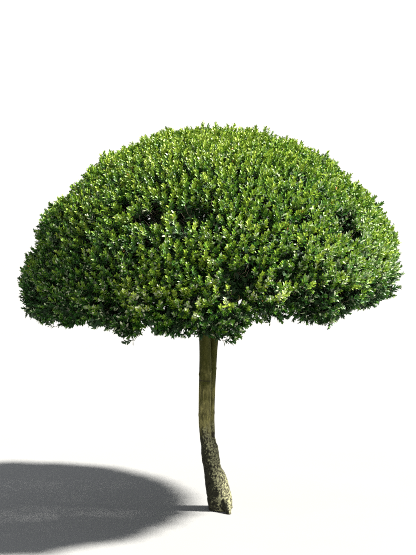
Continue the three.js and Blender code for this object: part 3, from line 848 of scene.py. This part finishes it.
def forked_paths(starts, ends, ways, bend, shares):
    """Twigs from their starts to their ends, where they run along ways. bend is how early they turn to them,
    as a share of their reach."""
    reach = np.linalg.norm(ends - starts, axis=1, keepdims=True)
    return bezier(starts, ends - ways * bend * reach, ends, shares)


def limb_points(crown):
    """Points along every limb with its radius, for leaves to keep clear of. From the crown's axis."""
    points, radii = [], []
    for sections in STEM_SECTIONS.values():
        path, radius = smooth_path(sections, np.linspace(0, 1, 60))
        points.append(path)
        radii.append(radius)
    for mass in MASSES:
        if mass[3] is not None:
            points.append(bough_path(crown, mass, 40))
            radii.append(np.linspace(*BOUGH["radii"], 40))
    return np.concatenate(points) - CROWN_AXIS, np.concatenate(radii)


class HOLLY_OT_wood(bpy.types.Operator):
    """Makes the skin of the trunk, the stems and the boughs, with the bark's relief"""

    bl_idname = "holly.wood"
    bl_label = "Trunk, stems and boughs"

    def execute(self, context):
        crown, wood = context.scene.holly_crown, context.scene.holly_wood
        pile = Pile()
        pile.add(*upright_limb(FOOT_SECTIONS + STEM_SECTIONS["front"], LIMB_SIDES["front"], foot_swell))
        pile.add(*upright_limb(BACK_FOOT_SECTIONS + STEM_SECTIONS["back"], LIMB_SIDES["back"]))
        steps = BOUGH["steps"]
        collar = BOUGH_COLLAR["swell"] * bell(np.arange(steps) / (steps - 1), BOUGH_COLLAR["share"])
        radii = np.linspace(*BOUGH["radii"], steps) + collar
        for mass in MASSES:
            if mass[3] is not None:
                pile.add(*tubes(bough_path(crown, mass, steps)[None], radii[None], LIMB_SIDES["bough"]))
        toe = bezier(*ROOT_TOE, np.linspace(0, 1, 12))
        pile.add(*tubes(toe[None], np.linspace(*ROOT_TOE_RADII, 12)[None], LIMB_SIDES["toe"]))
        vertices, triangles, _ = pile.joined()
        rough = make_piece("holly_wood_rough", vertices, triangles, [])
        remesh = rough.modifiers.new("skin", "REMESH")
        remesh.mode = "VOXEL"
        remesh.voxel_size = wood.skin_voxel
        remesh.adaptivity = 0.0
        remesh.use_smooth_shade = True
        made = bpy.data.meshes.new_from_object(rough.evaluated_get(context.evaluated_depsgraph_get()))
        bpy.data.objects.remove(rough)
        piece = bpy.data.objects.new("holly_wood", made)
        context.scene.collection.objects.link(piece)
        self.carve(made, wood)
        made.materials.clear()
        made.materials.append(bark_material(wood))
        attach(piece, "root")
        boughs = ["bough_" + mass[0] for mass in MASSES if mass[3] is not None]
        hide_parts("trunk", "stem_front", "stem_back", *boughs)
        return {"FINISHED"}

    def carve(self, mesh, wood):
        """Moves the skin in and out: knobs and cracks below the fork, fluting, rings and dots above it.
        Their spacings are those of real bark."""
        place, normal = (np.empty(len(mesh.vertices) * 3, np.float32) for _ in range(2))
        mesh.vertices.foreach_get("co", place)
        mesh.vertices.foreach_get("normal", normal)
        place, normal = (values.reshape(-1, 3).astype(float) for values in (place, normal))
        old = np.clip(1 - (place[:, 2] - FORK_HEIGHT + 0.03) / 0.1, 0, 1)
        noises = {
            name: lattice_noise(place, spacing, seed)
            for seed, (name, spacing) in enumerate(BARK_RELIEF.items(), start=3)
        }
        knobs = noises["knob"] + 0.5 * noises["small_knob"]
        pits = np.minimum(0, noises["pit"] + 0.25)
        flutes = noises["flute"] + 0.5 * noises["small_flute"]
        dots = np.maximum(0, noises["dot"] - 0.45)
        old_skin = old * wood.old_relief * (knobs + 1.3 * pits)
        move = old_skin + (1 - old) * wood.young_relief * (flutes + 0.8 * dots)
        move += sum(
            swelling * bell(place[:, 2] - height - slope * (place[:, 0] - FRONT_STEM_X), width)
            for height, slope, swelling, width in STEM_RINGS
        )
        place += normal * move[:, None]
        place[:, 2] = np.maximum(place[:, 2], 0.0)
        mesh.vertices.foreach_set("co", place.astype(np.float32).ravel())
        mesh.update()


# Crown
def nearest(points, targets, own=None, theirs=None):
    """For each point the index of the nearest target, of its own mass where masses are given."""
    best = np.empty(len(points), int)
    at_once = 2000
    for start in range(0, len(points), at_once):
        part = slice(start, start + at_once)
        apart = np.linalg.norm(points[part, None] - targets[None], axis=-1)
        if own is not None:
            apart = apart + 10.0 * (own[part, None] != theirs[None])
        best[part] = apart.argmin(1)
    return best


def crown_places(crown, spacing, under_spacing, seed):
    """Rows down the core, each with as many places as its length needs, as in the part's source."""
    random = np.random.default_rng(seed)
    steps = ROWS["steps"]
    shares = np.linspace(0, 1, steps + 1)
    line = crown_point(crown, np.full(steps + 1, ROWS["azimuth"]), shares, CORE_INSET)
    lengths = np.linalg.norm(np.diff(line, axis=0), axis=1)
    azimuth_rows, share_rows = [], []
    travelled = spacing / 2
    for i in range(1, steps + 1):
        gap = under_spacing if shares[i] > VAULT_START else spacing
        travelled += lengths[i - 1]
        if travelled < gap * ROWS["gap"]:
            continue
        travelled = 0.0
        count = max(1, round(2 * math.pi * math.hypot(line[i, 0], line[i, 1]) / gap))
        loose = ROWS["loose"] * (random.random((2, count)) - 0.5)
        turned = random.random() * 2 * np.pi
        azimuth_rows.append(turned + 2 * np.pi * (np.arange(count) + loose[0]) / count)
        share_rows.append(shares[i] + loose[1] * gap / lengths[i - 1] / steps)
    azimuths, places = np.concatenate(azimuth_rows), np.clip(np.concatenate(share_rows), 0, 1)
    core = crown_point(crown, azimuths, places, CORE_INSET)
    return azimuths, places, core, nearest(core, HEARTS)


def hollow_depth(crown, points, seed):
    """How far the clipped surface falls back at each point, in the hollows and in smaller stray ones."""
    random = np.random.default_rng(seed)
    azimuths, shares, radii, depths = np.array(HOLLOWS).T
    centres = crown_point(crown, np.radians(azimuths), shares, CORE_INSET)

    def strays(measure):
        least, spread = STRAY_HOLLOWS[measure]
        return least + spread * random.random(STRAY_HOLLOWS["count"])

    stray_azimuths = strays("azimuth") * np.pi
    centres = np.concatenate([centres, crown_point(crown, stray_azimuths, strays("share"), CORE_INSET)])
    radii = np.concatenate([radii, strays("radius")])
    depths = np.concatenate([depths, strays("depth")])
    apart = np.linalg.norm(points[:, None] - centres[None], axis=-1)
    # their edges are ragged
    apart = apart * (1 + 0.3 * lattice_noise(points, 0.03, seed + 1)[:, None])
    return (depths * bell(apart, radii)).max(1)


def sprig_rise(crown, points):
    """How far the sprigs stand proud of the clipped surface at each point."""
    azimuths, shares, radii, rises = np.array(SPRIGS).T
    centres = crown_point(crown, np.radians(azimuths), shares, CORE_INSET)
    apart = np.linalg.norm(points[:, None] - centres[None], axis=-1)
    return (rises * bell(apart, radii)).max(1)


def grow(crown):
    """The crown's branches, twigs and leafy shoots, as a dictionary of arrays, from the crown's axis."""
    random = np.random.default_rng(7)
    grown = {}
    for name, level, seed in (("branch", BRANCH, 11), ("twig", TWIG, 12)):
        _, _, core, mass = crown_places(crown, *level["spacings"], seed)
        grown[name + "_core"], grown[name + "_mass"] = core, mass
        grown[name + "_end"] = HEARTS[mass] + level["reach"] * (core - HEARTS[mass])
        grown[name + "_way"] = unit(core - HEARTS[mass])
    grown["twig_parent"] = nearest(
        grown["twig_end"], grown["branch_end"], grown["twig_mass"], grown["branch_mass"]
    )
    twig_core = grown["twig_core"]
    azimuth, share, core, mass = crown_places(crown, crown.shoot_spacing, crown.under_spacing, 13)
    normal = core_normal(crown, azimuth, share)
    under = share > VAULT_START

    # shoots fan out from their twig, and the surface dips where one twig's shoots meet the next one's
    near = np.sort(np.linalg.norm(core[:, None] - twig_core[None], axis=-1), axis=1)[:, :2]
    groove = bell(near[:, 1] - near[:, 0], GROOVE_WIDTH)
    parent = nearest(core, twig_core, mass, grown["twig_mass"])
    lump = lattice_noise(twig_core, LUMP_SPACING, 21)[parent]
    hollow = hollow_depth(crown, core, 22)
    clump = lattice_noise(core, CLUMP_SPACING, 23)
    sprig = sprig_rise(crown, core) * random.uniform(*SPRIG_SIZES, len(core))
    fan = (core - twig_core[parent]) / FAN["reach"]
    lift = crown.shoot_lift * (1 - np.maximum(0, normal[:, 2])) * ~under
    sway = random.normal(0, FAN["sway"], core.shape)
    direction = unit(normal + FAN["lean"] * fan + lift[:, None] * np.array([0, 0, 1.0]) + sway)
    length = crown.shoot_length * np.where(under, UNDER_SHOOT, 1.0)
    length = length * random.uniform(*SHOOT_SIZES, len(core))
    inset = TIP_INSET["all"] + TIP_INSET["groove"] * groove - TIP_INSET["lump"] * lump
    inset = inset - TIP_INSET["clump"] * clump + random.normal(0, TIP_INSET["stray"], len(core))
    inset = inset + hollow - sprig
    tall = random.random(len(core)) < TALL_SHOOTS
    inset = np.where(tall & ~under, inset - TIP_INSET["tall"], inset)
    tip = crown_point(crown, azimuth, share, np.clip(inset, *TIP_LIMITS))
    base = tip - direction * length[:, None]

    # some shoots have died back in the hollows, and none grow against a limb
    points, radii = limb_points(crown)
    closest = (np.linalg.norm(((base + tip) / 2)[:, None] - points[None], axis=-1) - radii[None]).min(1)
    kept = closest > LEAF_CLEARANCE
    low_down = share > DEAD_SHOOTS["low_from"]
    bare = np.where(low_down, DEAD_SHOOTS["low"], DEAD_SHOOTS["high"])
    bare = bare * np.clip(hollow / DEAD_SHOOTS["deep"], 0, 1)
    leafy = random.random(len(core)) > bare
    grown |= only(kept, parent=parent, mass=mass, base=base, tip=tip, direction=direction, length=length)
    grown |= only(kept, normal=normal, under=under, hollow=hollow, groove=groove, sprig=sprig)
    return grown | only(kept, leafy=leafy)


def shoot_twig_paths(grown, shares):
    """The twigs that carry the shoots, from the twig that they branch from."""
    starts = grown["twig_end"][grown["parent"]]
    return forked_paths(starts, grown["base"], grown["direction"], SHOOT_TWIG_BEND, shares)


class HOLLY_OT_twigs(bpy.types.Operator):
    """Makes the stem, branches and twigs inside each mass of foliage"""

    bl_idname = "holly.twigs"
    bl_label = "Twigs"

    def execute(self, context):
        crown = context.scene.holly_crown
        grown = grow(crown)
        material = twig_material(context.scene.holly_wood)
        for index, mass in enumerate(MASSES):
            pile = Pile()
            _, radius, _, _ = limb_tip(crown, mass)
            stem = mass_stem_path(crown, mass)
            radii = radius * np.linspace(1, MASS_STEM["tip_share"], MASS_STEM["steps"])
            pile.add(*tubes(stem[None], radii[None], MASS_STEM["sides"]))
            for name, level in (("branch", BRANCH), ("twig", TWIG)):
                own = grown[name + "_mass"] == index
                ends, ways = grown[name + "_end"][own], grown[name + "_way"][own]
                if name == "branch":
                    # each leaves the stem where the shifted stem comes nearest to the branch's end
                    starts = stem[2:][nearest(ends, stem[2:] + FORK_SHIFT)]
                else:
                    starts = grown["branch_end"][grown["twig_parent"][own]]
                paths = forked_paths(starts, ends, ways, FORK_BEND, np.linspace(0, 1, level["steps"]))
                radii = np.linspace(*level["radii"], level["steps"])
                pile.add(*tubes(paths, np.broadcast_to(radii, paths.shape[:2]), level["sides"]))
            own = grown["mass"] == index
            paths = shoot_twig_paths(grown, np.array([0.0, 0.5, 1.0]))[own]
            tips = grown["tip"][own] - grown["direction"][own] * SHOOT_TWIG_SHORT
            paths = np.concatenate([paths, tips[:, None]], axis=1)
            radii = np.broadcast_to(SHOOT_TWIG_RADII, paths.shape[:2])
            pile.add(*tubes(paths, radii, 3, capped=False))
            vertices, triangles, _ = pile.joined()
            piece = make_piece("twigs_" + mass[0], vertices + CROWN_AXIS, triangles, [material])
            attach(piece, "root")
            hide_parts("foliage_" + mass[0])
        return {"FINISHED"}


# A leaf folded along its midrib, as shares of its width and length: its foot, two points along each edge
# and its tip. An inner leaf has one point along each edge and one on its midrib.
LEAF_OUTLINE = np.array(
    [
        (0.0, 0.0, 0.0),
        (-0.38, 0.32, 0.07),
        (0.38, 0.32, 0.07),
        (-0.47, 0.68, 0.06),
        (0.47, 0.68, 0.06),
        (0.0, 1.0, -0.08),
    ]
)
LEAF_FACES = np.array([(0, 2, 4), (0, 4, 5), (0, 3, 1), (0, 5, 3)])
INNER_OUTLINE = np.array(
    [(0.0, 0.0, 0.0), (-0.48, 0.5, 0.05), (0.48, 0.5, 0.05), (0.0, 0.55, 0.0), (0.0, 1.0, -0.1)]
)
INNER_FACES = np.array([(0, 2, 3), (3, 2, 4), (0, 3, 1), (3, 4, 1)])


def leaves(outline, faces, root, heading, facing, length, width):
    """Vertices and triangles of leaves with their roots, headings and upper faces."""
    across = unit(np.cross(heading, facing))
    facing = np.cross(across, heading)
    x, y, z = outline.T
    vertices = (
        root[:, None]
        + across[:, None] * (x[None] * width[:, None])[..., None]
        + heading[:, None] * (y[None] * length[:, None])[..., None]
        + facing[:, None] * (z[None] * length[:, None])[..., None]
    )
    triangles = faces[None] + (np.arange(len(root)) * len(outline))[:, None, None]
    return vertices.reshape(-1, 3), triangles.reshape(-1, 3)


def turned_round(direction, angle):
    """Unit vectors square to each direction, at an angle round it."""
    first = unit(np.cross(direction, aside_of(direction)))
    second = np.cross(direction, first)
    return first * np.cos(angle)[..., None] + second * np.sin(angle)[..., None]


class HOLLY_OT_leaves(bpy.types.Operator):
    """Makes the leaves of each mass, in their plain colours"""

    bl_idname = "holly.leaves"
    bl_label = "Leaves"

    def execute(self, context):
        crown, colours = context.scene.holly_crown, context.scene.holly_leaf_colours
        grown = grow(crown)
        materials = [
            leaf_material(name + "_holly_leaf", getattr(colours, name), roughness)
            for name, roughness in LEAF_TONES.items()
        ]
        outer = self.outer_leaves(crown, grown)
        inner = self.inner_leaves(crown, grown)
        for index, mass in enumerate(MASSES):
            pile = Pile()
            kinds = ((LEAF_OUTLINE, LEAF_FACES, outer), (INNER_OUTLINE, INNER_FACES, inner))
            for outline, faces, group in kinds:
                own = group["mass"] == index
                parts = [group[key][own] for key in ("root", "heading", "facing", "length", "width")]
                pile.add(*leaves(outline, faces, *parts), np.repeat(group["tone"][own], len(faces)))
            vertices, triangles, tones = pile.joined()
            piece = make_piece("leaves_" + mass[0], vertices + CROWN_AXIS, triangles, materials, tones)
            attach(piece, "root")
            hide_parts("foliage_" + mass[0])
            if len(triangles) > MOST_TRIANGLES:
                raise RuntimeError(f"{piece.name} has {len(triangles)} triangles")
        return {"FINISHED"}

    def outer_leaves(self, crown, grown):
        """The leaves of the shoots, set round them by the golden angle, smaller and steeper to the tip."""
        random = np.random.default_rng(31)
        shoots, count = len(grown["base"]), crown.leaves_to_shoot
        along = (np.arange(count) + 0.5) / count
        along = np.clip(along[None] ** 0.85 + random.normal(0, 0.02, (shoots, count)), 0.02, 1.0)
        turn = random.random((shoots, 1)) * 2 * np.pi + np.radians(GOLDEN_ANGLE) * np.arange(count)[None]
        splay = LEAF_SPLAY["root"] - LEAF_SPLAY["less_at_tip"] * along
        splay = np.radians(splay + random.normal(0, LEAF_SPLAY["loose"], along.shape))
        direction = np.repeat(grown["direction"][:, None], count, 1)
        away = turned_round(direction, turn)
        heading = direction * np.cos(splay)[..., None] + away * np.sin(splay)[..., None]
        facing = direction * np.sin(splay)[..., None] - away * np.cos(splay)[..., None]
        facing = unit(facing + random.normal(0, LEAF_TILT, facing.shape))
        root = grown["base"][:, None] + direction * (along * grown["length"][:, None])[..., None]
        size = LEAF_SIZES["root"] - LEAF_SIZES["less_at_tip"] * along**2
        size = size * random.uniform(*LEAF_SIZES["spread"], along.shape)
        tone = self.tones(grown, along, random)
        # shoots underneath are thinner by every third leaf
        kept = grown["leafy"][:, None] & ~(grown["under"][:, None] & (np.arange(count) % 3 == 1)[None])
        mass = np.repeat(grown["mass"][:, None], count, 1)
        length = crown.leaf_length * size
        width = crown.leaf_width * size * random.uniform(*LEAF_SIZES["width_spread"], size.shape)
        turned = {"root": root, "heading": unit(heading), "facing": facing}
        return only(kept, mass=mass, length=length, width=width, tone=tone, **turned)

    def tones(self, grown, along, random):
        """Deals the plain colours: lighter at a shoot's tip, with painted light on upward faces, the front
        and the glinting side, and painted shade in hollows, grooves, underneath, on the shady side and where
        the key light falls full on.
        """
        normal, tip = grown["normal"], grown["tip"]
        front = np.clip(-normal[:, 1], 0, 1)
        # how squarely each shoot faces the side of painted glints, and the key light full on
        silvery, sunny = (
            np.clip(normal @ unit(side["faces"]), 0, 1) ** side["sharpness"]
            for side in (PAINTED_GLINT_SIDE, SUNNY_SIDE)
        )
        painted_glint_height = (tip[:, 2] - PAINTED_GLINT_HEIGHT["from"]) / PAINTED_GLINT_HEIGHT["full_after"]
        # painted light and shade by how each shoot faces and where it grows; the drift and part of the
        # sprigs' lightness are the leaves' own tone
        shares = {
            "light": normal[:, 2],
            "front": front**4,
            "painted_light_fringe": front**3 * np.clip((PAINTED_LIGHT_FRINGE["top"] - tip[:, 2]) / PAINTED_LIGHT_FRINGE["fades_over"], 0, 1),
            "shady_side": np.clip(-normal[:, 0], 0, 1),
            "drift": lattice_noise(tip, DRIFT_SPACINGS[0], 32) + lattice_noise(tip, DRIFT_SPACINGS[1], 35),
            "painted_glint_side": silvery * np.clip(painted_glint_height, PAINTED_GLINT_HEIGHT["least"], 1),
            "sunny_side": sunny,
            "hollow": grown["hollow"],
            "groove": grown["groove"],
            "under": grown["under"],
            "sprig": grown["sprig"],
        }
        shoot = MEAN_VIGOUR + sum(VIGOUR[name] * share for name, share in shares.items())
        shoot = shoot + random.normal(0, VIGOUR_SPREAD["shoot"], len(shoot))
        vigour = shoot[:, None] + TIP_VIGOUR * (along - 0.55)
        vigour = vigour + random.normal(0, VIGOUR_SPREAD["leaf"], along.shape)
        tone = (vigour[..., None] < TONE_STEPS).sum(-1)
        rare = random.random(along.shape)
        shares["everywhere"] = 1.0
        pale, silvered = (
            sum(share * shares[name] for name, share in kind.items())[:, None]
            for kind in (PALE_HIGHLIGHT_SHARE, PAINTED_GLINT_SHARE)
        )
        # pale leaves, partly turned-out undersides and partly painted highlights
        tone = np.where(rare < pale * (0.4 + along), PALE_HIGHLIGHT, tone)
        # leaves painted pale as glints of the key light
        tone = np.where(rare > 1 - silvered, PAINTED_GLINT, tone)
        return np.where(np.abs(rare - 0.5) < WITHERED_SHARE / 2, WITHERED, tone)

    def inner_leaves(self, crown, grown):
        """Older leaves along the twigs behind the shoots, which close the view into the crown."""
        random = np.random.default_rng(33)
        fine, coarse = INNER_PLACES
        shoot_twigs = shoot_twig_paths(grown, fine)
        starts = grown["branch_end"][grown["twig_parent"]]
        twigs = forked_paths(starts, grown["twig_end"], grown["twig_way"], FORK_BEND, coarse)
        root = np.concatenate([shoot_twigs.reshape(-1, 3), twigs.reshape(-1, 3)])
        way, mass = (
            np.concatenate([np.repeat(grown[name], len(fine), 0), np.repeat(grown[other], len(coarse), 0)])
            for name, other in (("direction", "twig_way"), ("mass", "twig_mass"))
        )
        away = turned_round(way, random.random(len(root)) * 2 * np.pi)
        splay = random.uniform(*INNER_LEAF["splay"], len(root))[:, None]
        size = random.uniform(*INNER_LEAF["sizes"], len(root))
        heading = unit(way * np.cos(splay) + away * np.sin(splay))
        facing = way * np.sin(splay) - away * np.cos(splay)
        facing = unit(facing + random.normal(0, LEAF_TILT, way.shape))
        deep = np.clip(hollow_depth(crown, root, 22) / INNER_GAPS["hollow"] - 1, 0, 1)
        bare = INNER_GAPS["behind_hollows"] * deep
        bare[shoot_twigs.size // 3 :] = 0
        clear = above_underside(crown, root) > INNER_GAPS["above_underside"]
        kept = clear & (random.random(len(root)) > bare)
        length, width = INNER_LEAF["length"] * size, INNER_LEAF["width"] * size
        turned = {"root": root, "heading": heading, "facing": facing}
        return only(kept, mass=mass, length=length, width=width, tone=np.full(len(root), SHADED), **turned)


# Stage
class HOLLY_OT_stage(bpy.types.Operator):
    """Makes the pale floor, the soft lights and the camera"""

    bl_idname = "holly.stage"
    bl_label = "Floor, lights and camera"

    def execute(self, context):
        stage = context.scene.holly_stage
        self.make_floor(stage)
        key = bpy.data.lights.new("key_light", "SUN")
        key.energy, key.angle, key.color = stage.key_strength, math.radians(SUN_ANGLE), SUN_COLOUR
        lamp = bpy.data.objects.new("key_light", key)
        lamp.rotation_euler = (-SUN_FROM).to_track_quat("-Z", "Y").to_euler()
        context.scene.collection.objects.link(lamp)
        world = bpy.data.worlds.new("studio_sky")
        world.use_nodes = True
        background = world.node_tree.nodes["Background"]
        background.inputs["Color"].default_value = SKY_COLOUR
        background.inputs["Strength"].default_value = stage.fill_strength
        context.scene.world = world
        lens = bpy.data.cameras.new("photo_view")
        lens.lens, lens.sensor_width = CAMERA["lens"], CAMERA["sensor"]
        camera = bpy.data.objects.new("photo_view", lens)
        camera.location = (CAMERA["x"], -stage.camera_distance, stage.camera_height)
        camera.rotation_euler = (math.radians(90 - CAMERA["looks_down"]), 0.0, 0.0)
        context.scene.collection.objects.link(camera)
        context.scene.camera = camera
        context.scene.view_settings.view_transform = "Standard"
        # leaves 2 pixels wide keep their edges
        context.scene.cycles.filter_width = 1.0
        context.scene.cycles.use_denoising = False
        return {"FINISHED"}

    def make_floor(self, stage):
        """A pale seamless floor that rises gently far from the plant, so that it is lit on all sides."""
        turns = np.linspace(0, 2 * np.pi, FLOOR_SIDES + 1)[:-1]
        rings = [(r, max(0.0, r - FLOOR_FLAT_TO) ** 2 / FLOOR_RISE) for r in FLOOR_RINGS]
        vertices = np.array([(r * math.cos(a), r * math.sin(a), z) for r, z in rings for a in turns])
        here = np.arange(FLOOR_SIDES)
        there = (here + 1) % FLOOR_SIDES
        rows = (np.arange(len(rings) - 1) * FLOOR_SIDES)[:, None]
        inner, inner_next = rows + here, rows + there
        outer, outer_next = inner + FLOOR_SIDES, inner_next + FLOOR_SIDES
        faces = np.stack([inner, outer, outer_next, inner, outer_next, inner_next], -1).reshape(-1, 3)
        centre = np.stack([np.full(FLOOR_SIDES, len(vertices)), here, there], -1)
        vertices, faces = np.vstack([vertices, (0, 0, 0)]), np.vstack([faces, centre])
        floor = make_piece("studio_floor", vertices, faces, [])
        floor.data.shade_smooth()
        # matt paper, faintly clouded every 0.6 m
        stops = ((0.3, shade(stage.floor, 0.96)), (0.7, tuple(stage.floor)))
        paper = mottled_material("matt_studio_paper", 0.6, 3.0, stops, lambda *_: {"Roughness": 0.9})
        floor.data.materials.append(paper)


class HOLLY_PT_panel(bpy.types.Panel):
    bl_idname = "HOLLY_PT_panel"
    bl_label = "Clipped standard holly"
    bl_space_type = "VIEW_3D"
    bl_region_type = "UI"
    bl_category = "Holly"

    def draw(self, context):
        for group in (getattr(context.scene, name) for name in GROUPS):
            for name in group.bl_rna.properties.keys():
                if name not in ("rna_type", "name"):
                    self.layout.prop(group, name)
        for operator in OPERATORS:
            self.layout.operator(operator.bl_idname)


GROUPS = {
    "holly_crown": HollyCrown,
    "holly_leaf_colours": HollyLeafColours,
    "holly_wood": HollyWood,
    "holly_stage": HollyStage,
}
OPERATORS = (HOLLY_OT_wood, HOLLY_OT_twigs, HOLLY_OT_leaves, HOLLY_OT_stage)


def register():
    for made in (*GROUPS.values(), *OPERATORS, HOLLY_PT_panel):
        bpy.utils.register_class(made)
    for name, group in GROUPS.items():
        setattr(bpy.types.Scene, name, bpy.props.PointerProperty(type=group))


def unregister():
    for name in GROUPS:
        delattr(bpy.types.Scene, name)
    for made in (HOLLY_PT_panel, *OPERATORS, *GROUPS.values()):
        bpy.utils.unregister_class(made)


def main():
    register()
    for operator in OPERATORS:
        family, name = operator.bl_idname.split(".")
        getattr(getattr(bpy.ops, family), name)()


if __name__ == "__main__":
    main()
